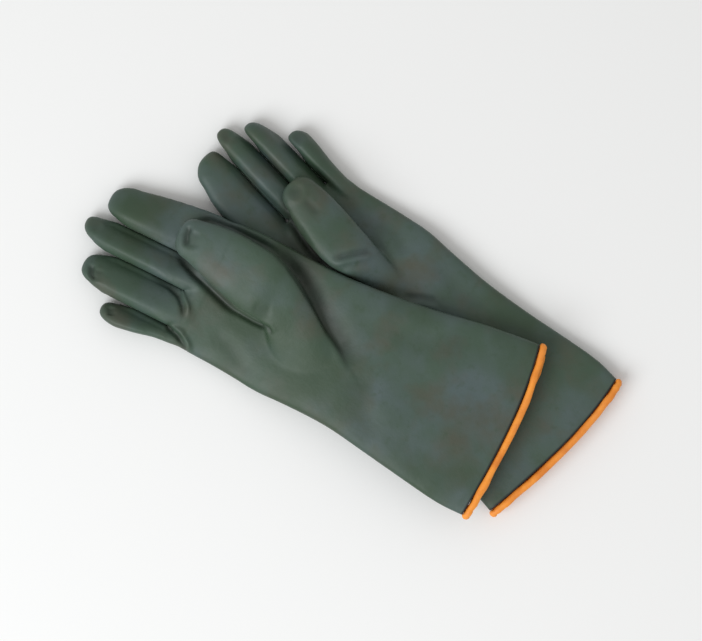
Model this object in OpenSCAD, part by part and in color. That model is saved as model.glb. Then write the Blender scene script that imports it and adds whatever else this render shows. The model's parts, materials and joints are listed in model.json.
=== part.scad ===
// A pair of rubber insulating gauntlets, the right glove lying on the left one, palms up.
// +Z is up, the fingers point towards -X and the cuff mouths open towards +X.

/* [Glove] */
// Length from the edge of the skin at the mouth to the tip of the longest finger
glove_l = 400; // [392:1:408]
// Flat width of the cuff
cuff_w = 158; // [153:1:163]
// Flat width across the palm
palm_w = 119; // [117:0.5:121]
// Height of the flattened sleeve at the mouth
cuff_h = 15; // [14:0.5:16]
// Height of the palm under the thumb
palm_h = 19; // [18.4:0.2:19.4]
// Height of a finger stall
finger_h = 20.8; // [20:0.2:22]
// Height of a thumb stall
thumb_h = 18.4; // [17:0.2:19]

/* [Layers] */
// Thickness of the dark outer skin
skin_t = 0.9; // [0.8:0.05:1.0]
// Thickness of the orange lining
lining_t = 0.7; // [0.6:0.05:0.8]
// Play between the skin and the lining in a stall
cap_play = 0.22; // [0.15:0.01:0.25]
// Radius of the rolled bead at the mouth
bead_r = 3; // [2.6:0.1:3.2]

/* [Flexing] */
// Gap left in the skin at each flexing line
flex_gap = 0.6; // [0.5:0.1:0.8]
// Gap between a thumb stall and the palm below it
thumb_gap = 0.7; // [0.6:0.1:1.2]

/* [Lay] */
// Direction of the left glove's fingers, in degrees from +X
left_dir = 170.2; // [169.8:0.1:170.6]
// Direction of the right glove's fingers, in degrees from +X
right_dir = 189.8; // [189.4:0.1:190.2]
// Height of the right glove's mouth above the plate
right_lift = 20; // [20:0.5:24]

/* [Hidden] */
side = [1, -1];
heading = [left_dir, right_dir];
cuff = [[209.63, 24.82], [167.13, 9.52]];
kx = glove_l / 400;
kc = cuff_w / 158;
kw = palm_w / 119;
stall_n = 16;

// One row per section: distance from the mouth, little-finger edge, thumb edge, foot, height, slope
sleeve_rows = [
    [[0, -77, 79, 3.7, cuff_h, 0], [25, -76.5, 77, 2, cuff_h, 0], [60, -70.5, 73.5, 0.5, cuff_h + 1, 0],
     [100, -62, 68, 0, cuff_h + 2, 0], [140, -55.5, 62, 0, cuff_h + 3, 0],
     [176, -51, 60, 0, palm_h, -0.15], [206, -48.5, 61.5, 0, palm_h + 1, -0.28],
     [230, -43.5, 65, 0, palm_h + 0.6, -0.3]],
    [[0, -79.5, 79, 3.7, cuff_h, 0], [25, -79.5, 77, 2, cuff_h + 1, 0], [60, -75, 73, 0.5, cuff_h + 3, 0],
     [100, -69, 66, 0, cuff_h + 5, 0], [140, -63.5, 61, 0, cuff_h + 7, 0],
     [178, -63, 58, 0, palm_h + 3, 0], [206, -64, 58, 0, palm_h + 1.8, 0],
     [230, -62, 58.5, 0, palm_h + 0.8, 0]]];
palm_rows = [
    [[252, -38.6, 68, 0, palm_h, -0.3], [275, -32.5, 70, 0, palm_h, -0.22], [289, -30.8, 70, 0, palm_h, -0.15]],
    [[252, -60.4, 59, 0, palm_h, 0], [277, -59, 57.8, 0, palm_h, 0], [291, -58.5, 57, 0, palm_h, 0]]];
// Where the webs between the fingers stand, from the index side
web_y = [[31, 8.7, -14.3], [13.6, -13.6, -46.3]];
// First and last point of the palm's section that the thumb rises between
fork = [[7, 11], [4, 9]];

// Rows of each stall: little, ring, middle, index; the first is its root, the second its flexing line
stall_rows = [
    [[[298, -31, -14.7, 0, palm_h + 1], [306, -31, -14.6, 0, finger_h], [324, -33, -14.6, 0, finger_h],
      [336, -34, -14.8, 0, finger_h - 1], [344, -30.7, -15.6, 1.5, finger_h - 4], [349, -25, -19, 5, finger_h - 13]],
     [[299, -13.9, 8.4, 0, palm_h + 0.3], [320, -13.9, 8.4, 0, finger_h], [350, -13.4, 8.4, 0, finger_h],
      [365, -12, 8.2, 0, finger_h - 1], [375.5, -7.5, 7.2, 1.5, finger_h - 4], [381, -2.5, 4.5, 5, finger_h - 13]],
     [[300, 9, 30.7, 0, palm_h + 0.3], [332, 9, 30.4, 0, finger_h], [355, 9, 30.4, 0, finger_h],
      [374, 10, 30.2, 0, finger_h - 1], [387, 14, 29, 1.5, finger_h - 4], [393, 18, 26, 5, finger_h - 13]],
     [[303, 31.3, 70, 0, palm_h], [347, 31, 68, 0, palm_h], [358, 30.9, 65.6, 0, palm_h],
      [370, 31, 61.5, 0, palm_h - 1], [380.5, 33.5, 54.5, 1.5, palm_h - 4], [386, 40, 48, 5, palm_h - 12]]],
    [[[299, -60.6, -46.7, 0, palm_h], [313, -63, -46.6, 0, palm_h], [328, -66.8, -46.6, 0, palm_h],
      [341, -68, -46.8, 0, palm_h - 1], [350, -66, -49.6, 1.5, palm_h - 4], [355.5, -61.5, -54, 5, palm_h - 12]],
     [[301, -46, -14, 0, finger_h - 1], [323, -45.8, -13.9, 0, finger_h], [346, -46, -13.9, 0, finger_h],
      [364, -45, -14.6, 0, finger_h - 1], [378, -41, -19, 1.5, finger_h - 4], [385.5, -36, -28, 5, finger_h - 13]],
     [[302, -13.3, 13.2, 0, finger_h - 1], [333, -13.3, 12.2, 0, finger_h], [356, -13.3, 12.1, 0, finger_h],
      [376, -13, 11.6, 0, finger_h - 1], [392, -9.5, 9.5, 1.5, finger_h - 4], [400, -2, 6, 5, finger_h - 13]],
     [[303, 14, 56.6, 0, palm_h], [335, 13.4, 52.4, 0, palm_h], [350, 12.8, 50, 0, palm_h],
      [366, 12.8, 45.6, 0, palm_h - 1], [381, 15, 39, 1.5, palm_h - 4], [389.5, 24, 32, 5, palm_h - 12]]]];

// Rows of each thumb, which lies on the palm
thumb_z = palm_h + thumb_gap;
thumb_rows = [
    [[230, -6, 25.5, palm_h - 1, thumb_h - 2], [249, -5, 28.5, thumb_z + 1.2, thumb_h],
     [270, -7.4, 26.5, thumb_z + 1.4, thumb_h], [292, -8, 24, thumb_z + 1.8, thumb_h],
     [308, -5, 18.5, thumb_z + 2.2, thumb_h - 2], [316.5, 2, 12, thumb_z + 3.9, thumb_h - 8]],
    [[230, -6, 47.5, palm_h - 1, thumb_h - 2], [251, -5.6, 47.4, thumb_z, thumb_h],
     [275, 0.8, 49.2, thumb_z, thumb_h], [298, 7, 47.6, thumb_z, thumb_h],
     [314, 13.6, 43, thumb_z, thumb_h - 2], [322, 20, 35, thumb_z + 2, thumb_h - 8]]];

// The right glove lies on the left one: how far it is lifted and leaned at each distance
lean_rows = [[-10, 0.00], [60, 0.00], [140, 0.05], [200, 0.12], [260, 0.165], [330, 0.07], [400, 0]];
rise_rows = [[-10, right_lift - 2], [60, right_lift], [140, right_lift - 3], [200, right_lift - 7],
    [260, right_lift - 9.3], [330, right_lift - 14.8], [400, 0.3]];

// A place in the pair from a place in one glove: along it, towards its thumb, up
function spot(g, x, y, z) =
    let (a = heading[g], s = side[g], k = kc + (kw - kc) * min(max(x / 150, 0), 1), l = x * kx, w = y * k,
         up = g == 0 ? 0 : lookup(x, rise_rows) + w * lookup(x, lean_rows))
    [cuff[g][0] + l * cos(a) - s * w * sin(a), cuff[g][1] + l * sin(a) + s * w * cos(a), z + up];

function bent(c, e) = sign(c) * pow(abs(c), 2 / e);

// One point of a closed section that is flat below and round at both edges, inset by t
function rim(g, r, t, u, v, dx) =
    let (c = (r[1] + r[2]) / 2, a = (r[2] - r[1]) / 2 - t, m = len(r) > 5 ? r[5] : 0)
    [r[0] + dx, c + a * u, r[3] + t + (r[4] * (1 + m * u) - 2 * t) * (max(v, -0.8) + 0.8) / 1.8];

function at(g, p) = spot(g, p[0], p[1], p[2]);
function mix(p, q, f) = p * (1 - f) + q * f;
function around(g, r, t, q, e, dx) = rim(g, r, t, bent(cos(q), e), bent(sin(q), e), dx);
function ring(g, r, t, n, e, dx = 0) = [for (i = [0:n - 1]) at(g, around(g, r, t, 360 * (i - 1) / n, e, dx))];

// Breadthways place of the palm's points: edges of the four fingers, four steps to each
function breadth(g, i) =
    let (r = palm_rows[g][2], c = (r[1] + r[2]) / 2, a = (r[2] - r[1]) / 2,
         edges = concat([0.936], [for (y = web_y[g]) (y - c) / a], [-0.936]), f = min(floor(i / 4), 3))
    mix(edges[f], edges[f + 1], i / 4 - f);

// Forty points round the palm: thumb edge, top, little-finger edge, back
function palm_point(g, r, t, j, dx) =
    j < 3 ? around(g, r, t, 12.5 * (j - 1), 3, dx) :
    j > 19 && j < 23 ? around(g, r, t, 180 + 12.5 * (j - 21), 3, dx) :
    let (u = breadth(g, j < 20 ? j - 3 : 39 - j), v = pow(1 - pow(abs(u), 3), 1 / 3))
    rim(g, r, t, u, j < 20 ? v : -v, dx);

// A section of the sleeve, where the thumb swells out of the palm by f
function sleeve_ring(g, r, t, f, dx) =
    let (a = fork[g][0], b = fork[g][1], k = thumb_rows[g][0])
    concat([for (j = [0:a]) palm_point(g, r, t, j, dx)],
        [for (q = [1:11]) let (u = mix(breadth(g, a - 3), breadth(g, b - 3), q / 12))
            mix(rim(g, r, t, u, pow(1 - pow(abs(u), 3), 1 / 3), dx),
                around(g, k, t, 22.5 * (q - 2), 2.5, r[0] + dx - k[0]), f)],
        [for (j = [b:39]) palm_point(g, r, t, j, dx)]);

// Every point of one surface of the standing part of a glove, inset by t
function sleeve_points(g, t) =
    let (s = sleeve_rows[g], p = palm_rows[g], a = fork[g][0], b = fork[g][1], in = -3.3 * t, end = -flex_gap / 2)
    [for (q = concat(
        [for (i = [0:7]) each sleeve_ring(g, s[i], t, [0, 0, 0, 0, 0, 0, 0.35, 1][i], i == 7 ? in : 0)],
        [for (j = [a + 1:b - 1]) let (c = palm_point(g, s[7], t, j, in)) [c.x, c.y, c.z + t]],
        [for (i = [0:2], j = [0:39]) palm_point(g, p[i], t, j, i == 2 ? in : 0)],
        [for (k = [0:11 + b - a]) around(g, thumb_rows[g][1], t,
            k < 13 ? 22.5 * (k - 2) : 225 + 90 * (k - 12) / (b - a), 2.5, end)],
        [for (w = [1:3], k = [1:3]) mix(palm_point(g, p[2], t, 3 + 4 * w, in), palm_point(g, p[2], t, 39 - 4 * w, in),
            k / 4)],
        [for (f = [0:3], i = [0:1], j = [0:15]) around(g, stall_rows[g][3 - f][i], t, 22.5 * (j - 1), 2.5,
            i == 1 ? end : 0)])) at(g, q)];

function band(p, q) = [for (j = [0:len(p) - 1]) let (k = (j + 1) % len(p))
    each [[p[j], p[k], q[k]], [p[j], q[k], q[j]]]];
function facing(g, tri) = side[g] > 0 ? [for (f = tri) [f[2], f[1], f[0]]] : tri;
function turned(l) = [for (i = [len(l) - 1:-1:0]) l[i]];

// One layer of sleeve, palm, thumb root and finger roots: t below the surface, d thick
module still_layer(g, t, d) {
    a = fork[g][0];
    b = fork[g][1];
    na = 52 + a - b;
    chain = 8 * na;
    palm = chain + b - a - 1;
    thumb = palm + 120;
    web = thumb + b - a + 12;
    finger = web + 9;
    total = finger + 128;
    s = [for (i = [0:7]) [for (j = [0:na - 1]) i * na + j]];
    p = concat([[for (j = [0:39]) j <= a ? s[7][j] : j < b ? chain + j - a - 1 : s[7][na - 40 + j]]],
        [for (i = [0:2]) [for (j = [0:39]) palm + 40 * i + j]]);
    fork_loop = concat([for (j = [a:a + 12]) s[7][j]], [for (j = [b - 1:-1:a + 1]) chain + j - a - 1]);
    thumb_loop = [for (j = [0:b - a + 11]) thumb + j];
    webs = concat([[p[3][2], p[3][1], p[3][0]]], [for (w = [0:2]) [for (k = [0:2]) web + 3 * w + k]],
        [[p[3][20], p[3][21], p[3][22]]]);
    fingers = [for (f = [0:3]) concat(
        [concat(turned(webs[f]), [for (k = [0:4]) p[3][3 + 4 * f + k]], webs[f + 1],
            [for (k = [0:4]) p[3][35 - 4 * f + k]])],
        [for (i = [0:1]) [for (j = [0:15]) finger + 32 * f + 16 * i + j]])];
    skin = concat([for (i = [0:6]) each band(s[i], s[i + 1])], [for (i = [0:2]) each band(p[i], p[i + 1])],
        band(fork_loop, thumb_loop), [for (f = fingers, i = [0:1]) each band(f[i], f[i + 1])]);
    ends = concat([thumb_loop], [for (f = fingers) f[2]]);
    polyhedron(points = concat(sleeve_points(g, t), sleeve_points(g, t + d)), faces = facing(g, concat(skin,
        [for (f = skin) [f[2] + total, f[1] + total, f[0] + total]],
        band([for (j = s[0]) j + total], s[0]),
        [for (l = ends) each band(l, [for (j = l) j + total])])));
}

// One layer of a stall beyond its flexing line: a cap with a closed tip, t below the surface, d thick
module cap_layer(g, rows, t, d) {
    n = stall_n;
    m = len(rows) - 1;
    out = [for (i = [0:m - 1]) ring(g, rows[i + 1], t, n, 2.5, i == 0 ? flex_gap / 2 : -t * i / (m - 1))];
    in = [for (i = [m - 1:-1:0])
        ring(g, rows[i + 1], t + d, n, 2.5, i == 0 ? flex_gap / 2 : -(t + d) * i / (m - 1))];
    loop = [for (i = [0:2 * m - 1]) [for (j = [0:n - 1]) i * n + j]];
    polyhedron(points = [for (r = concat(out, in)) each r], faces = facing(g, concat(
        [for (i = [0:2 * m - 1]) if (i != m - 1) each band(loop[i], loop[(i + 1) % (2 * m)])],
        [for (j = [1:n - 2]) [(m - 1) * n, (m - 1) * n + j, (m - 1) * n + j + 1]],
        [for (j = [1:n - 2]) [m * n, m * n + j + 1, m * n + j]])));
}

// Edge rolled outwards: round, with a flat face against the ends of both layers
module bead_ring(g) {
    n = 48;
    k = 10;
    mid = (skin_t + lining_t) / 2 - 0.43 * bead_r;
    row = sleeve_rows[g][0];
    rings = [for (i = [0:k - 1]) let (q = -140 + 280 * i / (k - 1))
        ring(g, row, mid - bead_r * sin(q), n, 3, -bead_r * (cos(q) - cos(140)))];
    loop = [for (i = [0:k - 1]) [for (j = [0:n - 1]) i * n + j]];
    polyhedron(points = [for (r = rings) each r],
        faces = facing(g, [for (i = [0:k - 1]) each band(loop[i], loop[(i + 1) % k])]));
}

skin_colour = "#4c5951";
lining_colour = "#e18f3e";

module left_sleeve_skin() color(skin_colour) still_layer(0, 0, skin_t);
module left_sleeve_lining() color(lining_colour) still_layer(0, skin_t, lining_t);
module left_cuff_bead() color(lining_colour) bead_ring(0);
module left_thumb_skin() color(skin_colour) cap_layer(0, thumb_rows[0], 0, skin_t);
module left_thumb_lining() color(lining_colour) cap_layer(0, thumb_rows[0], skin_t + cap_play, lining_t);
module left_index_skin() color(skin_colour) cap_layer(0, stall_rows[0][3], 0, skin_t);
module left_index_lining() color(lining_colour) cap_layer(0, stall_rows[0][3], skin_t + cap_play, lining_t);
module left_middle_skin() color(skin_colour) cap_layer(0, stall_rows[0][2], 0, skin_t);
module left_middle_lining() color(lining_colour) cap_layer(0, stall_rows[0][2], skin_t + cap_play, lining_t);
module left_ring_skin() color(skin_colour) cap_layer(0, stall_rows[0][1], 0, skin_t);
module left_ring_lining() color(lining_colour) cap_layer(0, stall_rows[0][1], skin_t + cap_play, lining_t);
module left_little_skin() color(skin_colour) cap_layer(0, stall_rows[0][0], 0, skin_t);
module left_little_lining() color(lining_colour) cap_layer(0, stall_rows[0][0], skin_t + cap_play, lining_t);
module right_sleeve_skin() color(skin_colour) still_layer(1, 0, skin_t);
module right_sleeve_lining() color(lining_colour) still_layer(1, skin_t, lining_t);
module right_cuff_bead() color(lining_colour) bead_ring(1);
module right_thumb_skin() color(skin_colour) cap_layer(1, thumb_rows[1], 0, skin_t);
module right_thumb_lining() color(lining_colour) cap_layer(1, thumb_rows[1], skin_t + cap_play, lining_t);
module right_index_skin() color(skin_colour) cap_layer(1, stall_rows[1][3], 0, skin_t);
module right_index_lining() color(lining_colour) cap_layer(1, stall_rows[1][3], skin_t + cap_play, lining_t);
module right_middle_skin() color(skin_colour) cap_layer(1, stall_rows[1][2], 0, skin_t);
module right_middle_lining() color(lining_colour) cap_layer(1, stall_rows[1][2], skin_t + cap_play, lining_t);
module right_ring_skin() color(skin_colour) cap_layer(1, stall_rows[1][1], 0, skin_t);
module right_ring_lining() color(lining_colour) cap_layer(1, stall_rows[1][1], skin_t + cap_play, lining_t);
module right_little_skin() color(skin_colour) cap_layer(1, stall_rows[1][0], 0, skin_t);
module right_little_lining() color(lining_colour) cap_layer(1, stall_rows[1][0], skin_t + cap_play, lining_t);

left_sleeve_skin();
left_sleeve_lining();
left_cuff_bead();
left_thumb_skin();
left_thumb_lining();
left_index_skin();
left_index_lining();
left_middle_skin();
left_middle_lining();
left_ring_skin();
left_ring_lining();
left_little_skin();
left_little_lining();
right_sleeve_skin();
right_sleeve_lining();
right_cuff_bead();
right_thumb_skin();
right_thumb_lining();
right_index_skin();
right_index_lining();
right_middle_skin();
right_middle_lining();
right_ring_skin();
right_ring_lining();
right_little_skin();
right_little_lining();
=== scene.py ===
import json
import math
import bpy
import bmesh
from mathutils import Matrix, Vector, noise


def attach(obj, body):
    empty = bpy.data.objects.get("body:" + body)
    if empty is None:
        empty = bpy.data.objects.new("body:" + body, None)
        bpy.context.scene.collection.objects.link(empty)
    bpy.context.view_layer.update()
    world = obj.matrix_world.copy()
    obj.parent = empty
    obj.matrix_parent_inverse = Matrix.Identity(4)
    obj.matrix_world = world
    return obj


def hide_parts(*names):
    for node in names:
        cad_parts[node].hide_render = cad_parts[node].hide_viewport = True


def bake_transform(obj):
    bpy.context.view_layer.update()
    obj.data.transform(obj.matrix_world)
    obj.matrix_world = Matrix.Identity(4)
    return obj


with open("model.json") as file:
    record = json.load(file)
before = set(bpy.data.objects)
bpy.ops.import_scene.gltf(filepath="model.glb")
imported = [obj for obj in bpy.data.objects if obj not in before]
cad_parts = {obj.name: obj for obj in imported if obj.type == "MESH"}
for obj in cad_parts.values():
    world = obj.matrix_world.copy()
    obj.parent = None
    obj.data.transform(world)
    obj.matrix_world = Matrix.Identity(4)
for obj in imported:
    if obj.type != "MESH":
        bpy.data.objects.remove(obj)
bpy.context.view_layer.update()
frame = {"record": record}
MM = 0.001

# ---- Dipped skins ---------------------------------------------------------------------------
# Each glove is one seamless skin: a hand former is dipped in orange rubber, then in dark grey-green
# rubber, and cured. It lies flat, so each glove is given in its own frame, in mm: distance from the
# mouth towards the fingers, distance towards the thumb side, and height.
#   sleeve: rows of (distance, little-finger edge, thumb edge, foot, height, lean)
#   stalls: the same rows for each stall, then its tip as (distance, middle)
#   bow: how far the mouth bulges at the thumb edge, the middle and the little-finger edge
#   lip: how far the lower edge of the mouth shows past the upper one at the thumb edge
#   deep, pull: the height below which fingers touch, and how far in from a flank that reaches
#   folds: (path, width, depth, lip, ramp), the lip and the wider slope on the left of the path
#   under_thumb: the same, only on the palm below the thumb
#   dents: (centre, radius, depth) of the tips that are pressed in
HANDS = {
    "left": {
        "thumb_side": 1,
        "sleeve": [
            (-14, -77, 79, 3.7, 15, 0), (0, -77, 79, 3.7, 15, 0), (25, -76.5, 77, 2, 15, 0),
            (60, -70.5, 73.5, 0.5, 16, 0), (100, -62, 68, 0, 17, 0), (140, -55, 62, 0, 18, 0),
            (176, -51.5, 60, 0, 18.6, 0), (206, -49.5, 61.5, 0, 17.8, 0), (230, -44.5, 65, 0, 16, 0),
            (252, -39, 68, 0, 15.2, 0), (275, -33, 69.5, 0, 15.2, 0), (288, -31, 68, 1, 14.6, 0),
            (297, -28, 65, 4, 8, 0)],
        "stalls": {
            "little": ([(262, -27, -18, 2, 9, 0), (284, -30.6, -16.8, 0.5, 18, -0.06),
                        (305, -31, -17, 0, 19.4, -0.12),
                        (325, -33, -17, 0, 19.8, -0.2), (337, -33.6, -17, 0.2, 19.2, -0.2)], (350, -22.5)),
            "ring": ([(262, -11, 4, 2, 9, 0), (288, -12.6, 5, 0.5, 17, -0.06),
                      (312, -12.8, 5, 0, 17.4, -0.1),
                      (335, -12.8, 5.2, 0, 20, -0.2), (350, -12.6, 5.2, 0, 20.2, -0.2),
                      (363, -12, 5.2, 0.2, 19.6, -0.2)], (381.5, -0.5)),
            "middle": ([(262, 13, 25, 2, 9, 0), (288, 10.4, 28, 0.5, 17, -0.06),
                        (312, 10, 28.6, 0, 17.4, -0.1),
                        (335, 9.6, 28.6, 0, 20, -0.2), (355, 9.6, 28.2, 0, 20.2, -0.2),
                        (374, 9.6, 27.8, 0.2, 19.6, -0.2)], (394, 19.4)),
            "index": ([(262, 37, 63, 2, 9, 0), (290, 34.4, 69, 0.5, 17.4, -0.06),
                       (320, 34, 70, 0, 18.6, -0.12),
                       (347, 33, 68, 0, 19.2, -0.2), (358, 32.4, 66, 0, 19.2, -0.2),
                       (368, 32, 63, 0.2, 18.8, -0.2)], (387, 43)),
            "thumb": ([(176, -8, 12, 4, 12, 0), (200, -8, 18, 6.5, 16, 0), (218, -7.5, 24, 11, 18.4, 0),
                       (232, -8, 29, 17, 19.5, -0.05), (241, -8.6, 31.4, 20.2, 19, -0.08),
                       (252, -9, 33, 20.8, 18.2, -0.1),
                       (270, -9.8, 32.4, 21, 17.6, -0.1), (290, -10, 29.4, 21.2, 17.2, -0.1),
                       (303, -8.6, 24.6, 21.4, 16.4, -0.08)], (319, 7.5)),
        },
        "bow": (0, -3, 6),
        "lip": 0,
        "deep": 12,
        "pull": 6,
        "folds": [
            ([(228, -4), (236, 8), (247, 27)], 3.4, 2.6, 0.7, 1), ([(221, 0), (229, 12),
            (238, 28)], 4, 1.2, 0.8, 1),
            ([(158, -14), (170, -6), (183, 7)], 3.6, 1.5, 0.8, 1), ([(120, -40), (150, -30),
            (190, -34)], 9, 0.9, 0.5, 1),
            ([(206, -20), (222, -26), (250, -22)], 7, 1.0, 0.5, 1),
            ([(262, 36), (284, 30), (300, 30)], 4, 1.6, 0.2, 1), ([(282, 8), (300, 8)], 4, 1.2, 0.2, 1)],
        "under_thumb": [([(242, 33), (255, 35), (280, 33), (300, 28), (316, 16)], 3.4, 2.6, 0, 1)],
        "dents": [((343, -24, 19), 7, 1.8), ((310, 9, 36), 7, 1.6), ((386, 19, 18), 6, 1.4)],
    },
    "right": {
        "thumb_side": -1,
        "sleeve": [
            (-14, -79.5, 79, 3.7, 15, 0), (0, -79.5, 79, 3.7, 15, 0), (25, -79.5, 77, 2, 16, 0),
            (60, -75, 73, 0.5, 18, 0), (100, -69, 66, 0, 20, 0), (140, -63.5, 61, 0, 21.6, 0),
            (178, -63, 58, 0, 20.8, 0), (206, -64, 58, 0, 18.6, 0), (230, -62, 58.5, 0, 16.2, 0),
            (252, -60.6, 59, 0, 15.4, 0), (277, -59.6, 58, 0, 15.6, 0), (290, -58.5, 56, 1, 15, 0),
            (299, -56, 54, 4, 8, 0)],
        "stalls": {
            "little": ([(262, -56, -50, 2, 9, 0), (288, -59.8, -49.4, 0.5, 16.6, 0.1),
                        (305, -61.4, -49, 0, 17.6, 0.2),
                        (320, -65, -48.8, 0, 18, 0.38), (338, -68.2, -48.8, 0, 17.8, 0.38)], (357, -58.5)),
            "ring": ([(262, -42, -18, 2, 9, 0), (290, -44.4, -16.2, 0.5, 17.4, 0.1),
                      (312, -44.8, -15.8, 0, 18.6, 0.32),
                      (333, -44.8, -15.6, 0, 18.8, 0.4), (350, -44.8, -15.6, 0, 18.8, 0.4),
                      (366, -44.2, -16.2, 0.2, 18, 0.38)], (387, -31)),
            "middle": ([(262, -9, 8, 2, 9, 0), (290, -11.8, 11.2, 0.5, 16.4, 0.1),
                        (312, -11.8, 11.2, 0, 17.4, 0.32),
                        (333, -11.8, 11.2, 0, 18.8, 0.4), (356, -11.8, 11, 0, 18.8, 0.4),
                        (379, -11.4, 10.6, 0.2, 18, 0.38)], (401, 2)),
            "index": ([(262, 20, 50, 2, 9, 0), (290, 16.4, 56.6, 0.5, 15, 0.03),
                       (312, 15.2, 55.8, 0, 14.8, 0.06),
                       (334, 15, 53, 0, 16.6, 0.32), (352, 15, 50, 0, 18.4, 0.38),
                       (368, 14.8, 46.4, 0.2, 17.8, 0.34)],
                      (391, 28.5)),
            "thumb": ([(138, -56, -12, 1, 15, -0.1), (156, -54, 0, 1.5, 18, -0.18),
                       (172, -50, 9.5, 2, 20.6, -0.22),
                       (187, -44, 20, 3, 23, -0.26), (202, -35, 29.5, 4.6, 25, -0.26),
                       (214, -22, 37, 8, 25.4, -0.2),
                       (226, -9.4, 43, 14.4, 22, -0.1), (238, -7.6, 47, 20, 19.2, -0.05),
                       (252, -6.4, 48.4, 20.8, 18.6, -0.04),
                       (275, 0, 50, 21, 18, 0), (296, 6.4, 48.6, 21.4, 17.6, 0),
                       (309, 10.4, 46, 21.8, 16.6, 0)],
                      (324, 29)),
        },
        "bow": (8, 0, 3),
        "lip": 3.4,
        "deep": 20,
        "pull": 2.6,
        "folds": [
            ([(143, -10), (156, 0), (173, 10.5), (188, 21), (203, 30.5), (215, 38), (228, 45),
            (246, 50)], 2.6, 5.2, 0, 5),
            ([(214, -14), (220, -10.5), (234, -11), (258, -9.5)], 2.2, 2.6, 0.35, 1),
            ([(240, 0), (231, 1), (223, 4)], 5, 0.9, 0, 1.2),
            ([(289, -34), (293, -26), (301, -19), (313, -15.5), (330, -15)], 2.4, 3.2, 0.8, 1),
            ([(273, -62), (279, -55), (287, -50), (298, -47.6), (316, -47.6)], 2.4, 3, 0.8, 1),
            ([(317, 38), (316.5, 30), (312, 20)], 2.8, 3.6, 0.35, 1.5), ([(311, 36), (310, 28),
            (306, 21)], 5, 1.4, 0, 1),
            ([(379, -28), (377, -35), (372, -43)], 2.8, 3.6, 0.3, 1.5), ([(372, -29),
            (370, -40)], 5, 1.4, 0, 1),
            ([(349, -54), (346, -61)], 3.4, 2.2, 0.4, 1),
            ([(96, -60), (120, -35), (132, -8)], 13, 0.9, 0.5, 1), ([(60, 58), (88, 40),
            (128, 30)], 13, 0.9, 0.5, 1),
            ([(214, -58), (240, -40), (262, -34)], 8, 0.8, 0.5, 1)],
        "under_thumb": [([(248, -11), (262, -8), (280, -2.4), (296, 3), (308, 8), (320, 15)], 3.4, 4, 0, 1),
                        ([(240, 50), (262, 52), (286, 52.5), (304, 50), (320, 41)], 3.2, 3.4, 0, 1)],
        "dents": [((391, 3, 18), 6, 1.0)],
    },
}


ROW_SPACING = 7


def through(rows, spacing):
    """Rows about every spacing mm on a smooth curve through the given ones."""
    out = []
    for i in range(len(rows) - 1):
        p0, p1, p2, p3 = rows[max(i - 1, 0)], rows[i], rows[i + 1], rows[min(i + 2, len(rows) - 1)]
        steps = max(1, round((p2[0] - p1[0]) / spacing))
        for s in range(steps):
            t = s / steps
            out.append([0.5 * (2 * b + (c - a) * t + (2 * a - 5 * b + 4 * c - d) * t * t
                               + (3 * b - a - 3 * c + d) * t ** 3) for a, b, c, d in zip(p0, p1, p2, p3)])
    return out + [list(rows[-1])]


def section(ring, row, power):
    """Moves a unit circle of vertices to a flattened round section."""
    x, low, high, foot, height, lean = row
    for v in ring:
        a = math.atan2(v.co.y, v.co.x)
        u = math.copysign(abs(math.cos(a)) ** (2 / power), math.cos(a)) * (high - low) / 2
        w = math.copysign(abs(math.sin(a)) ** (2 / power), math.sin(a)) * height / 2
        v.co = (x, (low + high) / 2 + u, foot + (height / 2 + w) * (1 - lean * 2 * u / (high - low)))


def tube(rows, tip, sides, power):
    """A closed tube through rows, ending flat or in a round tip at (distance, breadth)."""
    bm = bmesh.new()
    rows = through(rows, ROW_SPACING)
    if tip:
        x, low, high, foot, height, lean = rows[-1]
        half, mid = (high - low) / 2, (low + high) / 2
        for k in range(1, 9):
            a = math.radians(90 * k / 8.3)
            f, g = math.sin(a), math.cos(a) ** 0.7
            rows.append([x + (tip[0] - x) * f, mid + (tip[1] - mid) * f ** 2 - half * g,
                         mid + (tip[1] - mid) * f ** 2 + half * g,
                         foot + height / 2 * (1 - g) * 0.9, height * g, lean * g])
    last = None
    for row in rows:
        ring = bmesh.ops.create_circle(bm, segments=sides, radius=1)["verts"]
        section(ring, row, power)
        edges = list({e for v in ring for e in v.link_edges})
        if last:
            bmesh.ops.bridge_loops(bm, edges=last + edges)
        else:
            bmesh.ops.contextual_create(bm, geom=edges)
        last = edges
    bmesh.ops.contextual_create(bm, geom=last)
    bmesh.ops.recalc_face_normals(bm, faces=bm.faces)
    return bm


def beside(p, path):
    """How far a point is to the left of a line of points, in plan, and how far along it, from 0 to 1."""
    best, along = 1e9, 0
    for i in range(len(path) - 1):
        a, b = Vector(path[i]), Vector(path[i + 1])
        t = min(max((p - a).dot(b - a) / (b - a).length_squared, 0), 1)
        d = (p - a.lerp(b, t)).length
        if d < abs(best):
            best, along = math.copysign(d, (b - a).cross(p - a)), (i + t) / (len(path) - 1)
    return best, along


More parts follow.
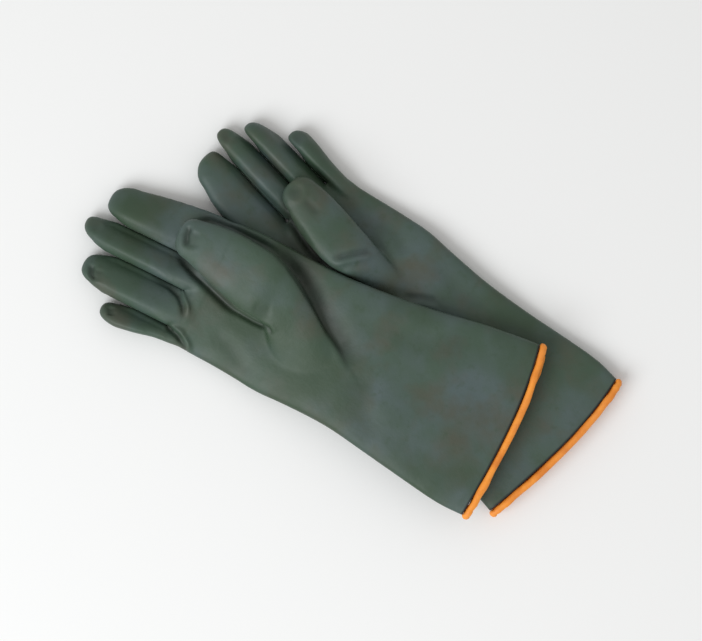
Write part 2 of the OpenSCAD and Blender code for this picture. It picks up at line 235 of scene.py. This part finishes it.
def skin_mesh(name, hand, voxel):
    """The whole outer surface of one glove in its own frame, in mm."""
    whole = bmesh.new()
    parts = [tube(hand["sleeve"], None, 96, 4)]
    parts += [tube(rows, tip, 32, 2.35) for rows, tip in hand["stalls"].values()]
    for part in parts:
        mesh = bpy.data.meshes.new("part")
        part.to_mesh(mesh)
        whole.from_mesh(mesh)
        bpy.data.meshes.remove(mesh)
        part.free()
    mesh = bpy.data.meshes.new(name)
    whole.to_mesh(mesh)
    whole.free()
    obj = bpy.data.objects.new(name, mesh)
    bpy.context.collection.objects.link(obj)
    remesh = obj.modifiers.new("Remesh", "REMESH")
    remesh.mode = "VOXEL"
    remesh.voxel_size = voxel
    soft = obj.modifiers.new("Smooth", "SMOOTH")
    soft.factor = 0.5
    soft.iterations = 9
    done = bpy.data.meshes.new_from_object(obj.evaluated_get(bpy.context.evaluated_depsgraph_get()))
    bpy.data.objects.remove(obj)
    bm = bmesh.new()
    bm.from_mesh(done)
    bpy.data.meshes.remove(done)
    return bm


def wear_in(bm, hand, seed):
    """Folds, pressed-in tips and the slack of soft rubber, all on the palm side, and a painted shade that
    darkens the colour where they press the surface in.
    """
    bm.normal_update()
    shift = Vector((seed, seed * 3, 0))
    folds = []
    for group, top in (("folds", 99), ("under_thumb", 19)):
        for path, width, depth, lip, ramp in hand[group]:
            xs, ys, reach = [p[0] for p in path], [p[1] for p in path], 3 * width * max(ramp, 1)
            folds.append((path, width, depth, lip, ramp, min(xs) - reach, max(xs) + reach,
                          min(ys) - reach, max(ys) + reach, top))
    plain = bm.verts.layers.float_vector.new("plain")
    painted_hollow_shade = bm.verts.layers.float.new("painted_hollow_shade")
    for v in bm.verts:
        v[plain] = v.normal
        up = max(v.normal.z, 0)
        if up <= 0:
            continue
        p, move = v.co, 0.0
        for path, width, depth, lip, ramp, x0, x1, y0, y1, top in folds:
            if x0 < p.x < x1 and y0 < p.y < y1 and p.z < top:
                d, along = beside(p.xy, path)
                fade = min(1, 5 * min(along, 1 - along) + 0.1)
                slope = width * (ramp if d > 0 else 1)
                move += depth * fade * (lip * math.exp(-((d - 1.3 * width) / width) ** 2)
                                        - math.exp(-(d / slope) ** 2))
        for centre, radius, depth in hand["dents"]:
            d = (p - Vector(centre)).length / radius
            if d < 2:
                move -= depth * (math.exp(-(d * 1.25) ** 2) - 0.4 * math.exp(-((d - 1.2) * 3) ** 2))
        slack = noise.noise((p + shift) * 0.018) * 1.3 + noise.noise((p + shift) * 0.05) * 0.35
        # Painted shade: how much the colour goes darker where a fold or dent presses the surface in, up to
        # 0.7.
        v[painted_hollow_shade] = min(max(-move / 6, 0), 0.7)
        v.co += v.normal * (move * up + slack * up * (1 if p.x < 280 else 0.35))


def close_ranks(bm, hand):
    """Lets the fingers lie against each other low down, so that no daylight shows between them."""
    fingers = [(through(rows, ROW_SPACING), tip[0]) for stall, (rows, tip) in hand["stalls"].items()
               if stall != "thumb"]
    fingers.sort(key=lambda finger: finger[0][0][1])
    pull = hand["pull"]
    for v in bm.verts:
        x, y, z = v.co
        if x < 297 or z > 20.5:
            continue
        sides = []
        for rows, end in fingers:
            row = min(rows, key=lambda r: abs(r[0] - x))
            sides.append((row[1], row[2], min(max((end - 12 - x) / 14, 0), 1)))
        low = min(max((hand["deep"] - z) / 6, 0), 1) * min((x - 297) / 3, 1)
        for (a, b, before), (c, d, after) in zip(sides, sides[1:]):
            mid = (b + c) / 2
            if b - pull < y < mid:
                v.co.y += (mid - 0.12 - y) * low * before * min((y - b + pull) / (0.7 * pull), 1)
            elif mid <= y < c + pull:
                v.co.y -= (y - mid - 0.12) * low * after * min((c + pull - y) / (0.7 * pull), 1)


def mouth_of(name):
    """Where a glove's mouth is in the frame, and which ways its fingers and its thumb side are."""
    mount = next(m for m in frame["record"]["mounts"] if m["name"] == name + "_mouth")
    ahead = -Vector(mount["axis"])
    return Vector(mount["pos_m"]), ahead, Vector((-ahead.y, ahead.x, 0)) * HANDS[name]["thumb_side"]


# The right glove rests on the left one: rows of (distance from the mouth, lift, tilt towards the thumb).
LIFT = through([(-80, -0.9, 0), (-10, -0.29, 0), (60, 1.71, 0), (140, -1.29, 0.05), (200, -5.29, 0.12),
                (260, -7.59, 0.165), (330, -13.09, 0.07), (400, -17.99, 0), (440, -20.5, 0)], 4)
MOUTH_MID = 9.8   # height of the middle of the mouth, in the glove's own frame


def lie(x, y, name):
    """How far the right glove is lifted, in mm, where it lies over the left one."""
    if name == "left":
        return 0
    for (x0, r0, l0), (x1, r1, l1) in zip(LIFT, LIFT[1:]):
        if x <= x1:
            t = (x - x0) / (x1 - x0)
            return r0 + (r1 - r0) * t + y * (l0 + (l1 - l0) * t)
    return LIFT[-1][1]


def settle(verts, name, hand):
    """Takes vertices from the glove's own frame to where the glove lies in the pair."""
    mouth, ahead, across = mouth_of(name)
    thumb_bow, mid_bow, little_bow = hand["bow"]
    for v in verts:
        x, y, z = v.co
        side = thumb_bow if y > 0 else little_bow
        bow = mid_bow + (side - mid_bow) * (y / 78) ** 2
        lip = hand["lip"] * min(max((y - 32) / 30, 0), 1) * min(max((9 - z) / 8, 0), 1)
        x += (bow - lip) * max(0, 1 - max(x, 0) / 70)
        v.co = mouth + (ahead * x + across * y) * MM
        v.co.z = mouth.z + (z - MOUTH_MID + lie(x, y, name)) * MM


def own(co, name):
    """A place in the pair, in the glove's own frame, for places past the cuff."""
    mouth, ahead, across = mouth_of(name)
    x, y = (co - mouth).dot(ahead) / MM, (co - mouth).dot(across) / MM
    return Vector((x, y, (co.z - mouth.z) / MM + MOUTH_MID - lie(x, y, name)))


def linked(start):
    """Every vertex joined to a vertex by edges."""
    seen, todo = {start}, [start]
    while todo:
        for e in todo.pop().link_edges:
            for v in e.verts:
                if v not in seen:
                    seen.add(v)
                    todo.append(v)
    return seen


def part_at(bm, name, cut, above):
    """Opens the surface in plan at a distance from the mouth, where it is higher than above."""
    mouth, ahead, across = mouth_of(name)
    near = mouth + ahead * cut * MM
    faces = [f for f in bm.faces if abs((f.verts[0].co - near).dot(ahead)) < 5 * MM
             and own(f.verts[0].co, name).z > above]
    geom = list({x for f in faces for x in (*f.verts, *f.edges)}) + faces
    made = bmesh.ops.bisect_plane(bm, geom=geom, plane_co=near, plane_no=ahead, dist=1e-7)
    edges = [e for e in made["geom_cut"] if isinstance(e, bmesh.types.BMEdge)]
    bm.normal_update()
    flow = bm.verts.layers.float_vector.get("flow") or bm.verts.layers.float_vector.new("flow")
    for v in {v for e in edges for v in e.verts}:
        v[flow] = v.normal
    bmesh.ops.split_edges(bm, edges=edges)


def lift_out(bm, name, tip):
    """Takes the part of the surface that holds a tip out into a mesh of its own."""
    mouth, ahead, across = mouth_of(name)
    target = mouth + (ahead * (tip[0] - 2) + across * tip[1]) * MM
    target.z = max((v.co.z for v in bm.verts if (v.co.xy - target.xy).length < 2 * MM), default=0)
    gone = linked(min(bm.verts, key=lambda v: (v.co - target).length))
    part = bm.copy()
    part.verts.ensure_lookup_table()
    bm.verts.index_update()
    kept = {v.index for v in gone}
    bmesh.ops.delete(part, geom=[v for v in part.verts if v.index not in kept], context="VERTS")
    bmesh.ops.delete(bm, geom=list(gone), context="VERTS")
    return part


CUTS = {"thumb": (247.5, 18.4), "fingers": (302.5, -20)}   # distance from the mouth, lowest height
VOXEL = 1.5
SLACK_SEED = {"left": 7, "right": 31}
CLEAR_OF_TABLE = 0.1
SKIN_WALL = 0.9


def dipped(name):
    """One whole glove surface where it lies, open at the mouth, parted at the thumb and the fingers."""
    hand = HANDS[name]
    bm = skin_mesh(name, hand, VOXEL)
    wear_in(bm, hand, SLACK_SEED[name])
    close_ranks(bm, hand)
    for v in bm.verts:
        v.co.z = max(v.co.z, CLEAR_OF_TABLE)
    whole = bm.verts[:] + bm.edges[:] + bm.faces[:]
    bmesh.ops.bisect_plane(bm, geom=whole, plane_co=(0, 0, 0), plane_no=(1, 0, 0), clear_inner=True)
    # Painted shade: the skin's last 1.9 mm at the mouth is marked to go near black in the material,
    # standing in for the shade in the gap under the rolled bead.
    painted_mouth_shade = bm.verts.layers.float.new("painted_mouth_shade")
    for v in bm.verts:
        v[painted_mouth_shade] = min(max(1.9 - v.co.x, 0), 1)
    settle(bm.verts, name, hand)
    mouth, ahead, across = mouth_of(name)
    plain = bm.verts.layers.float_vector["plain"]
    for v in bm.verts:
        x, y, z = v[plain]
        v[plain] = (ahead * x + across * y + Vector((0, 0, z))).normalized()
    if hand["thumb_side"] < 0:
        bmesh.ops.reverse_faces(bm, faces=bm.faces[:])
    found = {}
    part_at(bm, name, *CUTS["thumb"])
    found["thumb"] = lift_out(bm, name, hand["stalls"]["thumb"][1])
    part_at(bm, name, *CUTS["fingers"])
    for stall, (rows, tip) in hand["stalls"].items():
        if stall != "thumb":
            found[stall] = lift_out(bm, name, tip)
    found["sleeve"] = bm
    return found


def walled(bm, thickness):
    """Gives an open surface a wall on its inner side, and keeps its shading flowing over the partings."""
    flow = bm.verts.layers.float_vector["flow"]
    plain = bm.verts.layers.float_vector["plain"]
    outside = set(bm.verts)
    bmesh.ops.solidify(bm, geom=bm.faces[:], thickness=1e-9)
    for v in bm.verts:
        if v not in outside:
            v.co -= v[plain] * thickness * MM
    bm.normal_update()
    return [tuple(v[flow]) if v[flow].dot(v.normal) > 0.1 else tuple(v.normal) for v in bm.verts]


def piece(name, bm, normals, material):
    """A smooth object in a material, from a finished surface."""
    mesh = bpy.data.meshes.new(name)
    bm.to_mesh(mesh)
    for polygon in mesh.polygons:
        polygon.use_smooth = True
    if normals:
        mesh.normals_split_custom_set_from_vertices(normals)
    mesh.materials.append(material)
    obj = bpy.data.objects.new(name, mesh)
    bpy.context.collection.objects.link(obj)
    return obj


def follows(obj, name, stall):
    """The sleeve moves with its glove. A stall keeps its place in the pair, with its placing baked into its
    mesh.
    """
    if stall == "sleeve":
        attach(obj, name + "_glove")
        return
    mouth, ahead, across = mouth_of(name)
    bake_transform(obj)


def mottling():
    """A node group for dipped rubber: drifting patches of colour, uneven gloss and fine grain."""
    group = bpy.data.node_groups.new("dipped_rubber", "ShaderNodeTree")
    face = group.interface
    for socket in ("Body", "Cool Patch", "Warm Patch", "Deep Patch"):
        face.new_socket(socket, in_out="INPUT", socket_type="NodeSocketColor")
    for socket in ("Patch Scale", "Patch Strength", "Roughness", "Grain"):
        face.new_socket(socket, in_out="INPUT", socket_type="NodeSocketFloat")
    face.new_socket("Place", in_out="INPUT", socket_type="NodeSocketVector")
    face.new_socket("Color", in_out="OUTPUT", socket_type="NodeSocketColor")
    face.new_socket("Roughness", in_out="OUTPUT", socket_type="NodeSocketFloat")
    face.new_socket("Height", in_out="OUTPUT", socket_type="NodeSocketFloat")
    nodes, links = group.nodes, group.links
    given, result = nodes.new("NodeGroupInput"), nodes.new("NodeGroupOutput")

    def patches(factor, offset, low, high, detail=3):
        move = nodes.new("ShaderNodeVectorMath")
        move.operation = "ADD"
        move.inputs[1].default_value = (offset, offset * 0.7, offset * 0.3)
        links.new(given.outputs["Place"], move.inputs[0])
        size = nodes.new("ShaderNodeMath")
        size.operation = "MULTIPLY"
        size.inputs[1].default_value = factor
        links.new(given.outputs["Patch Scale"], size.inputs[0])
        cloud = nodes.new("ShaderNodeTexNoise")
        cloud.inputs["Detail"].default_value = detail
        cloud.inputs["Roughness"].default_value = 0.55
        links.new(move.outputs[0], cloud.inputs["Vector"])
        links.new(size.outputs[0], cloud.inputs["Scale"])
        spread = nodes.new("ShaderNodeMapRange")
        spread.inputs["From Min"].default_value = low
        spread.inputs["From Max"].default_value = high
        links.new(cloud.outputs["Fac"], spread.inputs["Value"])
        return spread.outputs["Result"]

    def tinted(base, socket, mask):
        share = nodes.new("ShaderNodeMath")
        share.operation = "MULTIPLY"
        links.new(mask, share.inputs[0])
        links.new(given.outputs["Patch Strength"], share.inputs[1])
        mix = nodes.new("ShaderNodeMix")
        mix.data_type = "RGBA"
        links.new(share.outputs[0], mix.inputs["Factor"])
        links.new(base, mix.inputs["A"])
        links.new(given.outputs[socket], mix.inputs["B"])
        return mix.outputs["Result"]

    colour = tinted(given.outputs["Body"], "Cool Patch", patches(1, 0, 0.42, 0.66))
    colour = tinted(colour, "Warm Patch", patches(1.7, 3.1, 0.48, 0.7))
    colour = tinted(colour, "Deep Patch", patches(0.8, 7.3, 0.46, 0.68))
    colour = tinted(colour, "Deep Patch", patches(9, 1.7, 0.55, 0.95, 6))
    links.new(colour, result.inputs["Color"])
    gloss = nodes.new("ShaderNodeMath")
    gloss.operation = "MULTIPLY_ADD"
    gloss.inputs[1].default_value = 0.12
    links.new(patches(3, 5.9, 0.3, 0.7, 5), gloss.inputs[0])
    links.new(given.outputs["Roughness"], gloss.inputs[2])
    links.new(gloss.outputs[0], result.inputs["Roughness"])
    grain = nodes.new("ShaderNodeMath")
    grain.operation = "MULTIPLY"
    links.new(patches(70, 2.2, 0.3, 0.7, 4), grain.inputs[0])
    links.new(given.outputs["Grain"], grain.inputs[1])
    peel = nodes.new("ShaderNodeMath")
    peel.operation = "MULTIPLY_ADD"
    peel.inputs[1].default_value = 1
    links.new(patches(16, 4.4, 0.3, 0.7, 2), peel.inputs[0])
    links.new(grain.outputs[0], peel.inputs[2])
    links.new(peel.outputs[0], result.inputs["Height"])
    return group


DIPPED = mottling()


def rubber_of(name, body, cool, warm, deep, scale, strength, roughness, grain, relief):
    """A material of dipped rubber in the colours of one layer."""
    material = bpy.data.materials.new(name)
    material.use_nodes = True
    nodes, links = material.node_tree.nodes, material.node_tree.links
    shader = nodes["Principled BSDF"]
    place = nodes.new("ShaderNodeTexCoord")
    layer = nodes.new("ShaderNodeGroup")
    layer.node_tree = DIPPED
    for socket, value in (("Body", body), ("Cool Patch", cool), ("Warm Patch", warm), ("Deep Patch", deep)):
        layer.inputs[socket].default_value = (*value, 1)
    layer.inputs["Patch Scale"].default_value = scale
    layer.inputs["Patch Strength"].default_value = strength
    layer.inputs["Roughness"].default_value = roughness
    layer.inputs["Grain"].default_value = grain
    links.new(place.outputs["Object"], layer.inputs["Place"])
    bump = nodes.new("ShaderNodeBump")
    bump.inputs["Distance"].default_value = relief
    bump.inputs["Strength"].default_value = 1
    links.new(layer.outputs["Height"], bump.inputs["Height"])
    links.new(layer.outputs["Color"], shader.inputs["Base Color"])
    links.new(layer.outputs["Roughness"], shader.inputs["Roughness"])
    links.new(bump.outputs["Normal"], shader.inputs["Normal"])
    shader.inputs["Specular IOR Level"].default_value = 0.42
    return material


rubber = rubber_of("grey_green_rubber", (0.046, 0.081, 0.055), (0.07, 0.1, 0.102), (0.064, 0.069, 0.048),
                   (0.031, 0.06, 0.031), 15, 0.9, 0.46, 0.35, 0.00007)
nodes, links = rubber.node_tree.nodes, rubber.node_tree.links
colour = nodes["Group"].outputs["Color"]
# Painted shade: the skin's colour is mixed towards a dark green in the folds and dents, and towards near
# black along the mouth's edge, by the two attributes set on the skin.
for attribute, dark in (("painted_hollow_shade", (0.012, 0.018, 0.013, 1)), ("painted_mouth_shade", (0.006, 0.007, 0.007, 1))):
    mask = nodes.new("ShaderNodeAttribute")
    mask.attribute_name = attribute
    mix = nodes.new("ShaderNodeMix")
    mix.data_type = "RGBA"
    mix.inputs["B"].default_value = dark
    links.new(mask.outputs["Fac"], mix.inputs["Factor"])
    links.new(colour, mix.inputs["A"])
    colour = mix.outputs["Result"]
links.new(colour, nodes["Principled BSDF"].inputs["Base Color"])

surfaces = {}
for name in HANDS:
    surfaces[name] = dipped(name)
    for stall, surface in surfaces[name].items():
        shell = surface.copy()
        skin = piece(name + "_" + stall + "_outer", shell, walled(shell, SKIN_WALL), rubber)
        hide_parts(name + "_" + stall + "_skin")
        follows(skin, name, stall)

# ---- Lining ---------------------------------------------------------------------------------
# The first dip, of orange rubber, is the inside of the glove. It is one layer with the outer skin, and
# turns outwards at the mouth.
LINING_INSET = 1.0
LINING_WALL = 0.6
lining_rubber = rubber_of("orange_rubber_inside", (0.56, 0.19, 0.03), (0.5, 0.2, 0.05), (0.62, 0.2, 0.03),
                          (0.4, 0.12, 0.02), 20, 0.5, 0.55, 1, 0.0002)
for name in HANDS:
    for stall, layer in surfaces[name].items():
        plain = layer.verts.layers.float_vector["plain"]
        for v in layer.verts:
            past_cuff = min(max((own(v.co, name).x - 60) / 60, 0), 1)
            v.co -= v[plain] * (LINING_INSET + 0.5 * past_cuff) * MM
        lining = piece(name + "_" + stall + "_inner", layer, walled(layer, LINING_WALL), lining_rubber)
        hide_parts(name + "_" + stall + "_lining")
        follows(lining, name, stall)

# ---- Rolled beads ---------------------------------------------------------------------------
# While the rubber is still soft, the edge at the mouth is rolled back on itself. The roll is orange,
# a little uneven, and there is a fine gap between it and the skin.
STATIONS = 160
bead_rubber = rubber_of("orange_rubber_bead", (0.9, 0.3, 0.03), (0.8, 0.27, 0.05), (0.95, 0.37, 0.05),
                        (0.62, 0.16, 0.015), 60, 0.6, 0.42, 0.3, 0.0001)
for name, hand in HANDS.items():
    bm = bmesh.new()
    path = bmesh.ops.create_circle(bm, segments=STATIONS, radius=1)["verts"]
    section(path, hand["sleeve"][1], 4)
    stations = [v.co.copy() for v in path]
    middle = Vector((0, sum(p.y for p in stations) / STATIONS, sum(p.z for p in stations) / STATIONS))
    bmesh.ops.delete(bm, geom=path, context="VERTS")
    rings = []
    for i, p in enumerate(stations):
        run = (stations[(i + 1) % STATIONS] - stations[i - 1]).normalized()
        out = run.cross(Vector((1, 0, 0))).normalized()
        if out.dot(p - middle) < 0:
            out = -out
        turned = Matrix((Vector((1, 0, 0)), out, run)).transposed().to_4x4()
        uneven = noise.noise(Vector((i / 7, 3, hand["bow"][2]))) * 0.7
        uneven += noise.noise(Vector((i / 2.5, 9, 1))) * 0.25
        turned.translation = p + Vector((-3.7 + noise.noise(Vector((i / 8, 0, 5))) * 1.1, 0, 0)) - out * 0.5
        size = Matrix.Diagonal((3.0 + uneven, 2.7 + uneven * 0.6, 1, 1))
        rings.append(bmesh.ops.create_circle(bm, segments=20, radius=1, matrix=turned @ size)["verts"])
    loops = [list({e for v in ring for e in v.link_edges}) for ring in rings]
    for i in range(STATIONS):
        bmesh.ops.bridge_loops(bm, edges=loops[i - 1] + loops[i])
    bmesh.ops.recalc_face_normals(bm, faces=bm.faces)
    settle(bm.verts, name, hand)
    if hand["thumb_side"] < 0:
        bmesh.ops.reverse_faces(bm, faces=bm.faces[:])
    bead = piece(name + "_cuff_roll", bm, None, bead_rubber)
    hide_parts(name + "_cuff_bead")
    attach(bead, name + "_glove")

# ---- Floor, light and camera ----------------------------------------------------------------
# A plain pale table top seen from above, with one soft light from the little-finger side.
bm = bmesh.new()
bmesh.ops.create_grid(bm, x_segments=1, y_segments=1, size=4)
mesh = bpy.data.meshes.new("table_top")
bm.to_mesh(mesh)
floor = bpy.data.objects.new("table_top", mesh)
bpy.context.collection.objects.link(floor)
pale = bpy.data.materials.new("pale_table")
pale.use_nodes = True
shader = pale.node_tree.nodes["Principled BSDF"]
shader.inputs["Base Color"].default_value = (0.88, 0.88, 0.88, 1)
shader.inputs["Roughness"].default_value = 1
shader.inputs["Specular IOR Level"].default_value = 0
mesh.materials.append(pale)

world = bpy.data.worlds.new("studio")
world.use_nodes = True
world.node_tree.nodes["Background"].inputs["Color"].default_value = (1.0, 0.99, 0.97, 1)
world.node_tree.nodes["Background"].inputs["Strength"].default_value = 0.62
bpy.context.scene.world = world

key = bpy.data.lights.new("key", "AREA")
key.shape = "DISK"
key.size = 2.2
key.energy = 58
key.color = (0.955, 0.985, 1.0)
lamp = bpy.data.objects.new("key", key)
towards = Vector((math.cos(math.radians(256)), math.sin(math.radians(256)), 0)) * math.cos(math.radians(45))
towards.z = math.sin(math.radians(45))
lamp.location = towards * 3
lamp.rotation_euler = towards.to_track_quat("Z", "Y").to_euler()
bpy.context.collection.objects.link(lamp)

lens = bpy.data.cameras.new("camera")
lens.sensor_width = 36
lens.lens = 36 * 2.2 / 0.597
camera = bpy.data.objects.new("camera", lens)
camera.location = (0.0048, 0.0082, 2.22)
camera.rotation_euler = (0, 0, math.radians(36.17))
bpy.context.collection.objects.link(camera)
bpy.context.scene.camera = camera
bpy.context.scene.view_settings.view_transform = "Standard"
